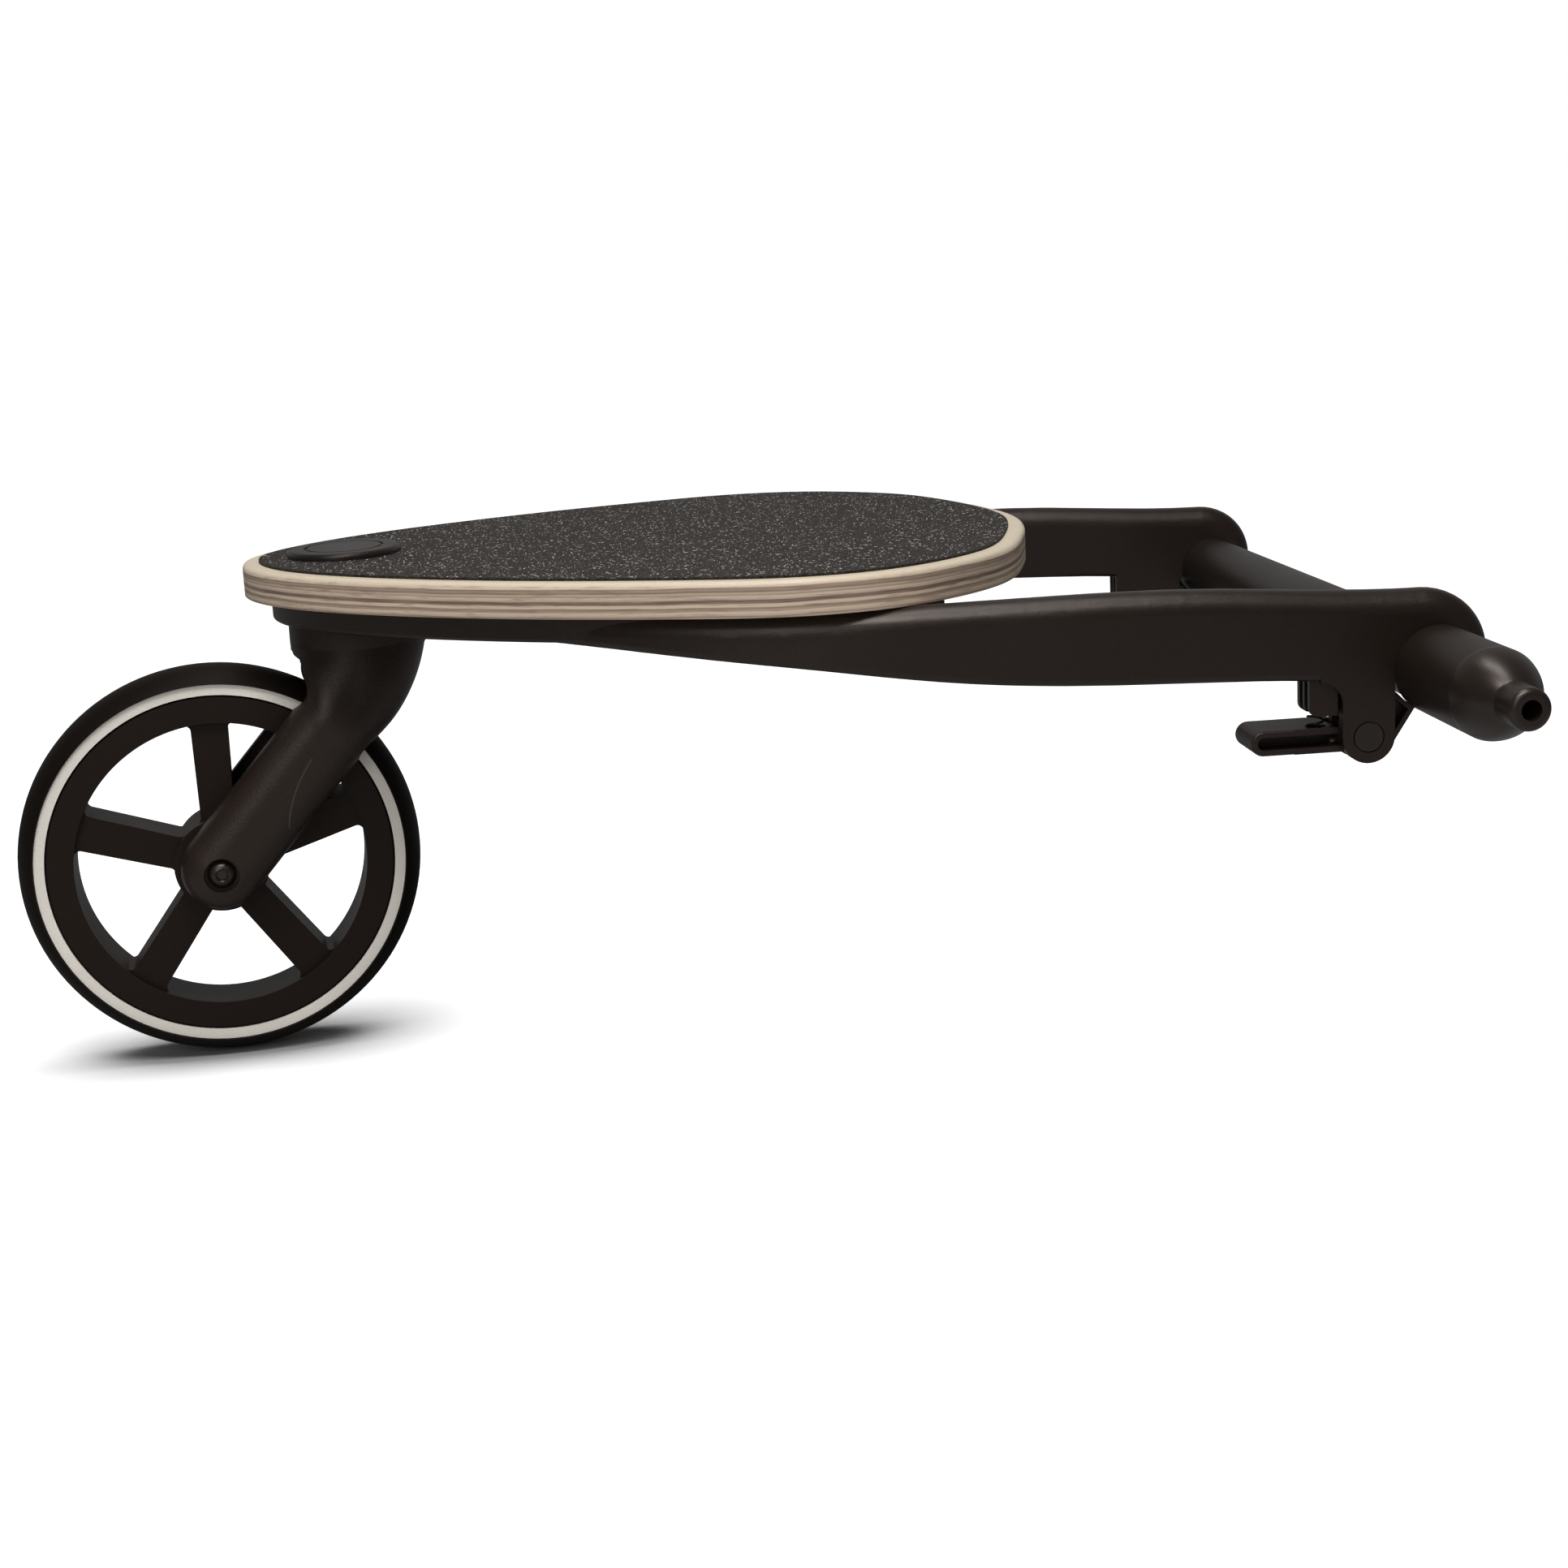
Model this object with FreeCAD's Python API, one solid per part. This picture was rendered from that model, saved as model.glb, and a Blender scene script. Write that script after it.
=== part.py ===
import FreeCAD, Part
import math
import os

from FreeCAD import Vector

# Buggy board: a drop-shaped plywood deck on a moulded wishbone chassis with one trailing caster.
# The chassis hangs on a cross bar whose two plugged ends go into the pushchair.
# Millimetres. +X points forward to the pushchair, +Y to the board's left, +Z up.
# The origin is the middle of the cross bar's axis.

# Shared clearances
running_gap = 0.05
seat_gap = 0.15
side_gap = 0.2
rub_gap = 0.1
cut_over = 5.0

# Cross bar
tube_radius = 13.0
tube_wall = 2.0
sleeve_radius = 15.0
sleeve_end = 200.2
plug_spigot_length = 32.0
plug_land = 1.5
plug_length = 30.6
plug_belly_share = 0.5
nub_radius = 6.8
nub_length = 13.0
nub_round = 2.2
nub_root_round = 1.4
plug_hole_radius = 3.25
plug_hole_depth = 16.0
plug_pin_radius = 2.0
plug_pin_setback = 20.0

# Deck
deck_length = 295.0
deck_width = 305.6
deck_front = 112.3
deck_underside = 31.0
ply_thickness = 12.0
deck_top_round = 2.2
deck_bottom_round = 0.4
tape_thickness = 0.9
tape_border = 6.2
deck_outline_shares = [
    (0.0, 0.0), (0.0451, 0.2768), (0.1407, 0.4921), (0.2522, 0.6571), (0.3946, 0.8161), (0.5302, 0.9306),
    (0.662, 1.0), (0.7756, 0.9568), (0.8488, 0.8534), (0.9217, 0.6669), (0.9654, 0.4208), (1.0, 0.0),
]
outline_samples = 44
badge_length = 42.0
badge_width = 55.0
badge_setback = 38.0
badge_rise = 2.6
badge_round = 1.8
badge_groove = 1.0
badge_groove_depth = 0.5
badge_groove_share = 0.68

# Wishbone chassis
chassis_inset = 9.6
plate_depth = 9.5
plate_setback = 47.7
plate_edge_round = 1.2
plate_floor = 3.0
plate_wall = 4.0
rib_thickness = 2.6
rib_offset = 62.0
arm_spacing = 286.5
arm_width = 15.9
arm_straight_from = 175.0
arm_bend_radius = 190.0
arm_bend_angle = 42.0
arm_top_round_share = 0.465
arm_bottom_round = 2.2
arm_top_flat_to = 165.0
arm_top_mid = 77.0
arm_top_mid_drop = 0.6
arm_foot = -5.5
arm_depth_points = [(300.0, 9.6), (285.0, 10.4), (243.0, 14.6), (203.0, 19.6), (161.0, 25.8), (97.0, 30.4),
                    (45.0, 32.6)]
eye_lead = 3.4
eye_round = 22.0
eye_rise = 4.5

# Deck fixings
screw_radius = 2.5
screw_head_radius = 4.7
screw_head_height = 2.8
insert_radius = 4.0
insert_length = 9.0
boss_radius = 8.0
screw_place_shares = [(0.738, 0.3403), (0.5075, 0.6021), (0.2363, 0.7068)]

# Caster swivel
kingpin_setback = 40.3
kingpin_radius = 5.0
kingpin_flange_radius = 14.0
kingpin_flange = 3.0
kingpin_boss_radius = 21.0
kingpin_tail = 2.0
thrust_washer_radius = 23.0
thrust_washer = 0.9
bush_wall = 3.0
upper_bush_length = 12.0
lower_bush_length = 10.0
bush_spacing = 5.0
keeper_radius = 8.6
keeper_thickness = 1.5
clip_radius = 7.0
clip_thickness = 1.0
clip_groove = 0.8
keeper_pocket_gap = 0.7

# Caster fork and its turn at rest
caster_turn = 6.96
trail = 58.0
wheel_tuck = 6.5
crown_radius = 25.3
crown_straight = 11.5
crown_top_round = 1.2
elbow_drop = 24.6
elbow_tangent = 14.6
elbow_sections = 5
elbow_flat = 0.2
elbow_belly = 1.1
limb_radius = 15.0
limb_inner = 16.5
limb_thickness = 15.5
limb_round = 11.5
limb_neck = 8.0

# Wheel
tyre_radius = 75.0
tyre_width = 26.8
tyre_crown = 6.2
tyre_clearance = 8.5
ring_edge = 0.3
ring_band = 3.9
ring_thickness = 1.2
ring_to_rim = 0.8
rim_flange = 1.9
rim_lip = 2.3
rim_depth = 9.8
rim_width = 24.6
spoke_count = 5
spoke_width_rim = 13.6
spoke_width_hub = 12.4
spoke_thickness = 19.6
spoke_phase = 90.0
spoke_round = 2.2
hub_radius = 17.6
hub_width = 29.0
bearing_outer_radius = 11.0
bearing_bore_radius = 4.0
bearing_width = 7.0
race_wall = 2.0
ball_radius = 1.55
ball_count = 7
axle_radius = 3.0
axle_head_radius = 5.25
axle_head_height = 3.3
axle_head_rim = 0.9
axle_socket = 4.0
axle_socket_depth = 2.0
axle_socket_bevel = 0.5
axle_recess_radius = 6.5
axle_recess_depth = 3.6
nut_across_flats = 10.0
nut_thickness = 5.0
nut_recess_depth = 6.2
axle_sleeve_radius = 4.0
side_washer_radius = 5.8

# Latch levers
lever_pin_back = 23.6
lever_pin_drop = 21.6
lever_pin_radius = 4.0
rivet_head_radius = 4.9
rivet_head_rise = 1.6
rivet_recess = 1.4
rivet_gap = 0.4
rivet_tail_rise = 1.0
ear_radius = 8.9
ear_root = 3.0
outer_ear = 4.3
inner_ear = 3.7
ear_fillet = 7.5
ear_fillet_top = -2.3
latch_box_back = 43.2
latch_box_front = 33.5
latch_box_drop = 14.0
latch_box_setback = 2.2
latch_box_round = 3.0
latch_channel_width = 3.4
latch_channel_depth = 1.5
latch_channel_step = 5.4
handle_reach = 38.7
handle_width = 20.9
handle_height = 8.5
handle_rise = 3.2
handle_neck = 12.0
handle_rim = 2.1
handle_recess = 7.5
handle_edge_round = 0.8
lever_hub_radius = 8.2
nose_face_radius = 14.5
nose_face_angle = 235.2
nose_face_up = 1.6
nose_face_down = 2.4
nose_foot_back = 13.4
nose_foot_drop = 24.3
nose_crest_radius = 15.0
nose_crest_angle = 212.0
nose_pocket_depth = 5.0
nose_pocket_share = 0.76
nose_pocket_lead = 7.6
nose_pocket_rise = 6.1
spring_wire = 0.8
spring_coil_radius = 2.6
spring_turns = 8
spring_back = 39.2
spring_side = 142.4
spring_bore_gap = 0.4
spring_roof = 4.0
spring_seat_depth = 1.2

# Places worked out from the sizes above
deck_top = deck_underside + ply_thickness
deck_back_x = -(deck_front + deck_length)
plate_front_x = -(deck_front + plate_setback)
plate_bottom = deck_underside - plate_depth
arm_outer = (arm_spacing + arm_width) / 2
arm_inner = arm_outer - arm_width
arm_top_round = arm_width * arm_top_round_share
kingpin_x = deck_back_x + kingpin_setback
axle_x = kingpin_x - trail
axle_z = wheel_tuck - tyre_radius
limb_outer = limb_inner + limb_thickness
crown_top = plate_bottom - rub_gap - thrust_washer
swivel_bore = kingpin_radius + running_gap + bush_wall
lower_bush_top = crown_top - upper_bush_length - bush_spacing
lower_bush_bottom = lower_bush_top - lower_bush_length
keeper_top = lower_bush_bottom - rub_gap
clip_top = keeper_top - keeper_thickness
kingpin_end = clip_top - clip_thickness - kingpin_tail
bar_socket = tube_radius + running_gap
lever_pin_x = -lever_pin_back
lever_pin_z = -lever_pin_drop
lever_low = -arm_outer + outer_ear + side_gap
lever_high = -arm_inner - inner_ear - side_gap
handle_top = lever_pin_z + handle_rise
hub_half = hub_width / 2
ball_pitch = (bearing_bore_radius + bearing_outer_radius) / 2
tyre_shoulder_radius = tyre_radius - tyre_crown
ring_outer_radius = tyre_shoulder_radius - ring_edge
ring_inner_radius = ring_outer_radius - ring_band
rim_flange_radius = ring_inner_radius - ring_to_rim
rim_seat_radius = rim_flange_radius - rim_lip
rim_window_radius = rim_flange_radius - rim_depth
ring_face = rim_width / 2 - running_gap
ring_seat = ring_face - ring_thickness
X, Y, Z = Vector(1, 0, 0), Vector(0, 1, 0), Vector(0, 0, 1)
ORIGIN = Vector(0, 0, 0)


def line(start, end):
    return Part.LineSegment(start, end).toShape()


def arc(start, through, end):
    return Part.Arc(start, through, end).toShape()


def spline(points, start_tangent=None, end_tangent=None):
    curve = Part.BSplineCurve()
    if start_tangent is None:
        curve.interpolate(points)
    else:
        curve.interpolate(points, InitialTangent=start_tangent, FinalTangent=end_tangent)
    return curve.toShape()


def face(edges):
    return Part.Face(Part.Wire(Part.__sortEdges__(edges)))


def polygon(points):
    return Part.Face(Part.makePolygon(points + points[:1]))


def rod(radius, start, length, direction):
    return Part.makeCylinder(radius, length, start, direction)


def tube(outer, inner, start, length, direction):
    bore_start = start - direction * cut_over
    bore = Part.makeCylinder(inner, length + 2 * cut_over, bore_start, direction)
    return Part.makeCylinder(outer, length, start, direction).cut(bore)


def dome(radius, rise, base, direction):
    ball_size = (radius ** 2 + rise ** 2) / (2 * rise)
    ball = Part.makeSphere(ball_size, base + direction * (rise - ball_size))
    return rod(radius, base, rise, direction).common(ball)


def box(low, high):
    return Part.makeBox(high.x - low.x, high.y - low.y, high.z - low.z, low)


def on_plane(shape, axis_value, direction, slack=0.01):
    def near(edge):
        return all(abs(v.Point.dot(direction) - axis_value) < slack for v in edge.Vertexes)

    return [edge for edge in shape.Edges if near(edge)]


def clean(shape):
    return shape.removeSplitter()


def mirrored(shape):
    return shape.mirror(ORIGIN, Y)


def save(name, *solids):
    shape = solids[0] if len(solids) == 1 else Part.makeCompound(list(solids))
    shape.exportStep("parts/" + name + ".step")


def save_pair(name, right_shape):
    save(name + "_right", right_shape)
    save(name + "_left", mirrored(right_shape))


# Cross bar: a steel tube with a moulded sleeve and a bullet-shaped plug at each end
def cross_tube():
    return tube(tube_radius, tube_radius - tube_wall, Vector(0, -sleeve_end, 0), 2 * sleeve_end, Y)


def end_sleeve():
    start = arm_outer + side_gap
    return tube(sleeve_radius, tube_radius, Vector(0, -start, 0), sleeve_end - start, -Y)


def end_plug():
    seam = -sleeve_end
    tip = seam - plug_length
    nub_root = tip + nub_length
    spigot_radius = tube_radius - tube_wall - running_gap
    land = seam - plug_land
    belly = Vector(0, (land + 2 * nub_root) / 3, 0)
    belly.x = nub_radius + (sleeve_radius - nub_radius) * plug_belly_share
    edges = [
        line(Vector(0, seam + plug_spigot_length, 0), Vector(spigot_radius, seam + plug_spigot_length, 0)),
        line(Vector(spigot_radius, seam + plug_spigot_length, 0), Vector(spigot_radius, seam, 0)),
        line(Vector(spigot_radius, seam, 0), Vector(sleeve_radius, seam, 0)),
        line(Vector(sleeve_radius, seam, 0), Vector(sleeve_radius, land, 0)),
        arc(Vector(sleeve_radius, land, 0), belly, Vector(nub_radius, nub_root, 0)),
        line(Vector(nub_radius, nub_root, 0), Vector(nub_radius, tip, 0)),
        line(Vector(nub_radius, tip, 0), Vector(0, tip, 0)),
        line(Vector(0, tip, 0), Vector(0, seam + plug_spigot_length, 0)),
    ]
    plug = face(edges).revolve(ORIGIN, Y, 360)
    plug = plug.makeFillet(nub_round, on_plane(plug, tip, Y))
    plug = plug.makeFillet(nub_root_round, on_plane(plug, nub_root, Y))
    plug = plug.cut(rod(plug_hole_radius, Vector(0, tip - cut_over, 0), plug_hole_depth + cut_over, Y))
    return plug.cut(plug_pin(running_gap))


def plug_pin(gap=0.0):
    height = tube_radius - seat_gap
    return rod(plug_pin_radius + gap, Vector(0, plug_pin_setback - sleeve_end, -height), 2 * height, Z)


def bored_tube():
    body = cross_tube()
    for pin in (plug_pin(running_gap), mirrored(plug_pin(running_gap))):
        stretched = pin.fuse(pin.translated(Z * cut_over)).fuse(pin.translated(-Z * cut_over))
        body = body.cut(stretched)
    return body


# Deck: plywood board, grip tape and a plain oval badge
def deck_curve(height):
    half = deck_width / 2
    right = [Vector(deck_back_x + sx * deck_length, -sy * half, height) for sx, sy in deck_outline_shares]
    left = [Vector(p.x, -p.y, p.z) for p in reversed(right[1:-1])]
    curve = Part.BSplineCurve()
    curve.interpolate(right + left, PeriodicFlag=True)
    return curve


def deck_wire(height):
    return Part.Wire(deck_curve(height).toShape())


def inset_face(height, inset):
    outline = deck_curve(height)
    first, last = outline.FirstParameter, outline.LastParameter
    points = []
    for step in range(outline_samples):
        at = first + (last - first) * step / outline_samples
        along = outline.tangent(at)[0]
        points.append(outline.value(at) + Vector(-along.y, along.x, 0) * inset)
    curve = Part.BSplineCurve()
    curve.interpolate(points, PeriodicFlag=True)
    return Part.Face(Part.Wire(curve.toShape()))


def oval(length, width, height):
    centre = Vector(deck_back_x + badge_setback, 0, height)
    curve = Part.Ellipse(centre + Y * (width / 2), centre + X * (length / 2), centre)
    return Part.Face(Part.Wire(curve.toShape()))


def deck_board():
    board = Part.Face(deck_wire(deck_underside)).extrude(Z * ply_thickness)
    board = board.makeFillet(deck_top_round, on_plane(board, deck_top, Z))
    board = board.makeFillet(deck_bottom_round, on_plane(board, deck_underside, Z))
    for place in screw_points():
        board = board.cut(rod(insert_radius, place + Z * deck_underside, insert_length, Z))
    return board


def grip_tape():
    tape = inset_face(deck_top, tape_border).extrude(Z * tape_thickness)
    hole = oval(badge_length + 2 * seat_gap, badge_width + 2 * seat_gap, deck_top - cut_over)
    return tape.cut(hole.extrude(Z * 2 * cut_over))


def badge():
    rise = tape_thickness + badge_rise
    cap = oval(badge_length, badge_width, deck_top).extrude(Z * rise)
    cap = cap.makeFillet(badge_round, on_plane(cap, deck_top + rise, Z))
    groove_length = badge_length * badge_groove_share
    groove_width = badge_width * badge_groove_share
    groove_bottom = deck_top + rise - badge_groove_depth
    groove = oval(groove_length + badge_groove, groove_width + badge_groove, groove_bottom)
    island = oval(groove_length - badge_groove, groove_width - badge_groove, groove_bottom)
    return cap.cut(groove.cut(island).extrude(Z * cut_over))


def screw_points():
    points = []
    for along, across in screw_place_shares:
        half = across * deck_width / 2
        points += [Vector(-(deck_front + along * deck_length), side, 0) for side in (-half, half)]
    return points


def deck_screw(place):
    head = rod(screw_head_radius, place + Z * plate_bottom, screw_head_height, Z)
    top = deck_underside + insert_length
    shank = rod(screw_radius, place + Z * plate_bottom, top - seat_gap - plate_bottom, Z)
    return head.fuse(shank)


def deck_insert(place):
    return tube(insert_radius, screw_radius, place + Z * deck_underside, insert_length, Z)


# Chassis: a drop-shaped tray under the deck that runs out into two arms
def tray():
    body = inset_face(plate_bottom, chassis_inset).extrude(Z * plate_depth)
    front = box(Vector(plate_front_x, -deck_width, plate_bottom - cut_over),
                Vector(0, deck_width, deck_underside + cut_over))
    body = body.cut(front)
    body = body.makeFillet(plate_edge_round, on_plane(body, plate_bottom, Z))
    pocket_low = plate_bottom + plate_floor
    pocket = inset_face(pocket_low, chassis_inset + plate_wall).extrude(Z * (plate_depth + cut_over))
    pocket = pocket.cut(front.translated(-X * plate_wall))
    keep_height = plate_depth + cut_over
    for place in screw_points():
        pocket = pocket.cut(rod(boss_radius, place + Z * pocket_low, keep_height, Z))
    pocket = pocket.cut(rod(kingpin_boss_radius, Vector(kingpin_x, 0, pocket_low), keep_height, Z))
    for middle in (-rib_offset, 0, rib_offset):
        low = Vector(deck_back_x, middle - rib_thickness / 2, pocket_low)
        high = Vector(0, middle + rib_thickness / 2, pocket_low + keep_height)
        pocket = pocket.cut(box(low, high))
    body = body.cut(pocket)
    body = body.cut(rod(kingpin_radius, Vector(kingpin_x, 0, plate_bottom - cut_over), 4 * cut_over, Z))
    flange_low = deck_underside - kingpin_flange
    return body.cut(rod(kingpin_flange_radius, Vector(kingpin_x, 0, flange_low), kingpin_flange + cut_over, Z))


def arm_plan():
    bend = Vector(-arm_straight_from, -arm_outer + arm_bend_radius, 0)
    front = eye_round + cut_over

    def bent(radius, share):
        turn = math.radians(arm_bend_angle * share)
        return bend + Vector(-radius * math.sin(turn), -radius * math.cos(turn), 0)

    outer, inner = arm_bend_radius, arm_bend_radius - arm_width
    edges = [
        line(Vector(front, -arm_outer, 0), bent(outer, 0)),
        arc(bent(outer, 0), bent(outer, 0.5), bent(outer, 1)),
        line(bent(outer, 1), bent(inner, 1)),
        arc(bent(inner, 1), bent(inner, 0.5), bent(inner, 0)),
        line(bent(inner, 0), Vector(front, -arm_inner, 0)),
        line(Vector(front, -arm_inner, 0), Vector(front, -arm_outer, 0)),
    ]
    return face(edges)


def arm_side():
    back = kingpin_x + cut_over
    eye_centre = Vector(-eye_lead, 0, eye_rise)
    top_end = eye_centre + Z * eye_round
    nose = eye_centre + X * eye_round
    half_turn = math.sqrt(0.5)
    shoulder = eye_centre + Vector(eye_round * half_turn, 0, eye_round * half_turn)
    flat_end = Vector(-arm_top_flat_to, 0, deck_underside)
    mid = Vector(-arm_top_mid, 0, deck_underside - arm_top_mid_drop)
    foot = Vector(nose.x, 0, arm_foot)
    depth = [Vector(-back_from, 0, deck_underside - drop) for back_from, drop in arm_depth_points]
    low_back = Vector(back, 0, depth[0].z)
    return face([
        line(Vector(back, 0, deck_underside), flat_end),
        spline([flat_end, mid, top_end], X, X),
        arc(top_end, shoulder, nose),
        line(nose, foot),
        spline([low_back] + depth + [foot], X, X),
        line(low_back, Vector(back, 0, deck_underside)),
    ])


def arm_blank():
    plan = arm_plan().extrude(Z * 3 * eye_round)
    plan.translate(-Z * eye_round)
    side = arm_side().extrude(-Y * 2 * arm_outer)
    return plan.common(side)


def arm_wall_edges(shape):
    edges = []
    for edge in shape.Edges:
        span = edge.BoundBox
        if span.XLength > span.YLength or (span.XMin > 0 and span.YLength < side_gap):
            edges.append(edge)
    return edges


def arm():
    blank = arm_blank()
    middle = plate_bottom + plate_depth / 2
    top = []
    for edge in arm_wall_edges(blank):
        if edge.BoundBox.ZMax > middle or edge.BoundBox.XMin > -arm_width:
            top.append(edge)
    blank = blank.makeFillet(arm_top_round, top)
    low = []
    for edge in arm_wall_edges(blank):
        if edge.BoundBox.ZMax < plate_bottom + rub_gap and edge.BoundBox.XLength > 3 * arm_width:
            low.append(edge)
    return blank.makeFillet(arm_bottom_round, low)


# Latch housing under each arm's end: outer ear, inner wall and the box that holds the spring
def lever_pin_place(side):
    return Vector(lever_pin_x, side, lever_pin_z)


def ear(low_side, thickness):
    lobe = rod(ear_radius, lever_pin_place(low_side), thickness, Y)
    web = box(Vector(lever_pin_x - ear_radius, low_side, lever_pin_z),
              Vector(lever_pin_x + ear_radius, low_side + thickness, ear_root))
    return lobe.fuse(web)


def ear_gusset():
    right = lever_pin_x - ear_radius
    left = right - ear_fillet
    low = ear_fillet_top - ear_fillet
    block = box(Vector(left, -arm_outer, low), Vector(right, -arm_outer + outer_ear, ear_root))
    return block.cut(rod(ear_fillet, Vector(left, -arm_outer - cut_over, low), outer_ear + 2 * cut_over, Y))


def latch_box():
    body = box(Vector(-latch_box_back, -arm_outer + latch_box_setback, -latch_box_drop),
               Vector(-latch_box_front, -arm_inner, ear_root))
    low_back = [e for e in body.Edges if abs(e.CenterOfMass.x + latch_box_back) < rub_gap
                and abs(e.CenterOfMass.z + latch_box_drop) < rub_gap]
    body = body.makeFillet(latch_box_round, low_back)
    for offset in (-latch_channel_step / 2, latch_channel_step / 2):
        middle = -spring_side + offset
        low = Vector(-latch_box_back - cut_over, middle - latch_channel_width / 2, -latch_box_drop - cut_over)
        high = Vector(-latch_box_back + latch_channel_depth, middle + latch_channel_width / 2, ear_fillet_top)
        body = body.cut(box(low, high))
    return body


def inner_wall():
    low_side = -arm_inner - inner_ear
    link = box(Vector(-latch_box_front - cut_over, low_side, -latch_box_drop),
               Vector(lever_pin_x, -arm_inner, ear_root))
    return ear(low_side, inner_ear).fuse(link)


def bar_slot():
    length = arm_width + 2 * cut_over
    start = -arm_outer - cut_over
    hole = rod(bar_socket, Vector(0, start, 0), length, Y)
    mouth = box(Vector(-bar_socket, start, 2 * lever_pin_z), Vector(bar_socket, start + length, 0))
    return hole.fuse(mouth)


def arm_with_latch():
    body = arm().fuse([ear(-arm_outer, outer_ear), ear_gusset(), latch_box(), inner_wall()])
    body = body.cut(bar_slot())
    body = body.cut(rod(lever_pin_radius, lever_pin_place(-arm_outer - cut_over), arm_width + 2 * cut_over, Y))
    recess = rivet_recess + cut_over
    body = body.cut(rod(rivet_head_radius + rivet_gap, lever_pin_place(-arm_outer - cut_over), recess, Y))
    bore_radius = spring_coil_radius + spring_wire / 2 + spring_bore_gap
    bore_low = -latch_box_drop - cut_over
    return body.cut(rod(bore_radius, Vector(-spring_back, -spring_side, bore_low), spring_roof - bore_low, Z))


def chassis():
    web = box(Vector(-arm_straight_from - 3 * arm_width, -arm_inner - running_gap, plate_bottom),
              Vector(plate_front_x, arm_inner + running_gap, plate_bottom + plate_floor))
    right_arm = arm_with_latch()
    body = clean(tray().fuse([web, right_arm, mirrored(right_arm)]))
    for place in screw_points():
        below = place + Z * (plate_bottom - cut_over)
        body = body.cut(rod(screw_radius + seat_gap, below, plate_depth + 2 * cut_over, Z))
        body = body.cut(rod(screw_head_radius + seat_gap, below, screw_head_height + cut_over, Z))
    return body


# Latch lever with its rivet and spring
def on_turn(radius, degrees):
    turn = math.radians(degrees)
    return Vector(radius * math.cos(turn), 0, radius * math.sin(turn))


def nose_points():
    outward = on_turn(1, nose_face_angle)
    along = Vector(-outward.z, 0, outward.x)
    return [
        on_turn(nose_crest_radius, nose_crest_angle),
        outward * nose_face_radius - along * nose_face_up,
        outward * nose_face_radius + along * nose_face_down,
        Vector(-nose_foot_back, 0, -nose_foot_drop),
        Vector(lever_pin_x, 0, lever_pin_z - lever_hub_radius),
        Vector(lever_pin_x, 0, lever_pin_z + lever_hub_radius),
    ]


def nose_pocket_points():
    crest, _, tip, foot, _, _ = nose_points()
    root = Vector(lever_pin_x + nose_pocket_lead, 0, lever_pin_z + nose_pocket_rise)
    return [root] + [root + (corner - root) * nose_pocket_share for corner in (crest, tip, foot)]


def handle_face(side, inset):
    half = handle_height / 2 - inset
    middle_z = handle_top - handle_height / 2
    left = lever_pin_x - handle_reach + handle_height / 2
    right = lever_pin_x - handle_neck + handle_height / 2
    top_left, top_right = Vector(left, side, middle_z + half), Vector(right, side, middle_z + half)
    low_left, low_right = Vector(left, side, middle_z - half), Vector(right, side, middle_z - half)
    edges = [
        line(top_left, top_right),
        line(low_right, low_left),
        arc(low_left, Vector(left - half, side, middle_z), top_left),
        arc(top_right, Vector(right + half, side, middle_z), low_right),
    ]
    return face(edges)


def latch_lever():
    width = lever_high - lever_low
    hub = rod(lever_hub_radius, lever_pin_place(lever_low), width, Y)
    nose = polygon([Vector(p.x, lever_low, p.z) for p in nose_points()]).extrude(Y * width)
    neck = box(Vector(lever_pin_x - 2 * handle_neck, lever_low, handle_top - handle_height),
               Vector(lever_pin_x, lever_high, handle_top))
    grip = handle_face(lever_low, 0).extrude(Y * handle_width)
    ends = on_plane(grip, lever_low, Y) + on_plane(grip, lever_low + handle_width, Y)
    grip = grip.makeFillet(handle_edge_round, ends)
    room = box(Vector(-latch_box_front - side_gap, lever_high, 2 * lever_pin_z),
               Vector(0, -arm_inner + cut_over, 0))
    body = clean(grip.cut(room).fuse([hub, nose, neck]))
    for start in (lever_low - cut_over, lever_low + handle_width - handle_recess):
        cutter = handle_face(start, handle_rim).extrude(Y * (handle_recess + cut_over))
        body = body.cut(cutter.cut(rod(ear_radius, lever_pin_place(start), handle_recess + cut_over, Y)))
    pocket = [Vector(p.x, lever_low - cut_over, p.z) for p in nose_pocket_points()]
    body = body.cut(polygon(pocket).extrude(Y * (cut_over + nose_pocket_depth)))
    seat_radius = spring_coil_radius + spring_wire / 2 + spring_bore_gap
    seat_low = Vector(-spring_back, -spring_side, handle_top - spring_seat_depth)
    body = body.cut(rod(seat_radius, seat_low, cut_over, Z))
    pin_start = lever_pin_place(lever_low - cut_over)
    return body.cut(rod(lever_pin_radius + running_gap, pin_start, width + 2 * cut_over, Y))


def lever_pin():
    start = -arm_outer + rivet_recess
    shank = rod(lever_pin_radius, lever_pin_place(start), arm_width - rivet_recess + rivet_tail_rise, Y)
    head = rod(rivet_head_radius, lever_pin_place(start), rivet_recess, -Y)
    crown_cap = dome(rivet_head_radius, rivet_head_rise, lever_pin_place(-arm_outer), -Y)
    tail = rod(rivet_head_radius, lever_pin_place(-arm_inner), rivet_tail_rise, Y)
    return clean(shank.fuse([head, crown_cap, tail]))


def lever_spring():
    low = handle_top - spring_seat_depth + rub_gap + spring_wire / 2
    height = spring_roof - rub_gap - spring_wire / 2 - low
    path = Part.makeHelix(height / spring_turns, height, spring_coil_radius)
    ring = Part.Circle(Vector(spring_coil_radius, 0, 0), Y, spring_wire / 2)
    coil = Part.Wire(path).makePipeShell([Part.Wire(ring.toShape())], True, True)
    coil.translate(Vector(-spring_back, -spring_side, low))
    return coil


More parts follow.
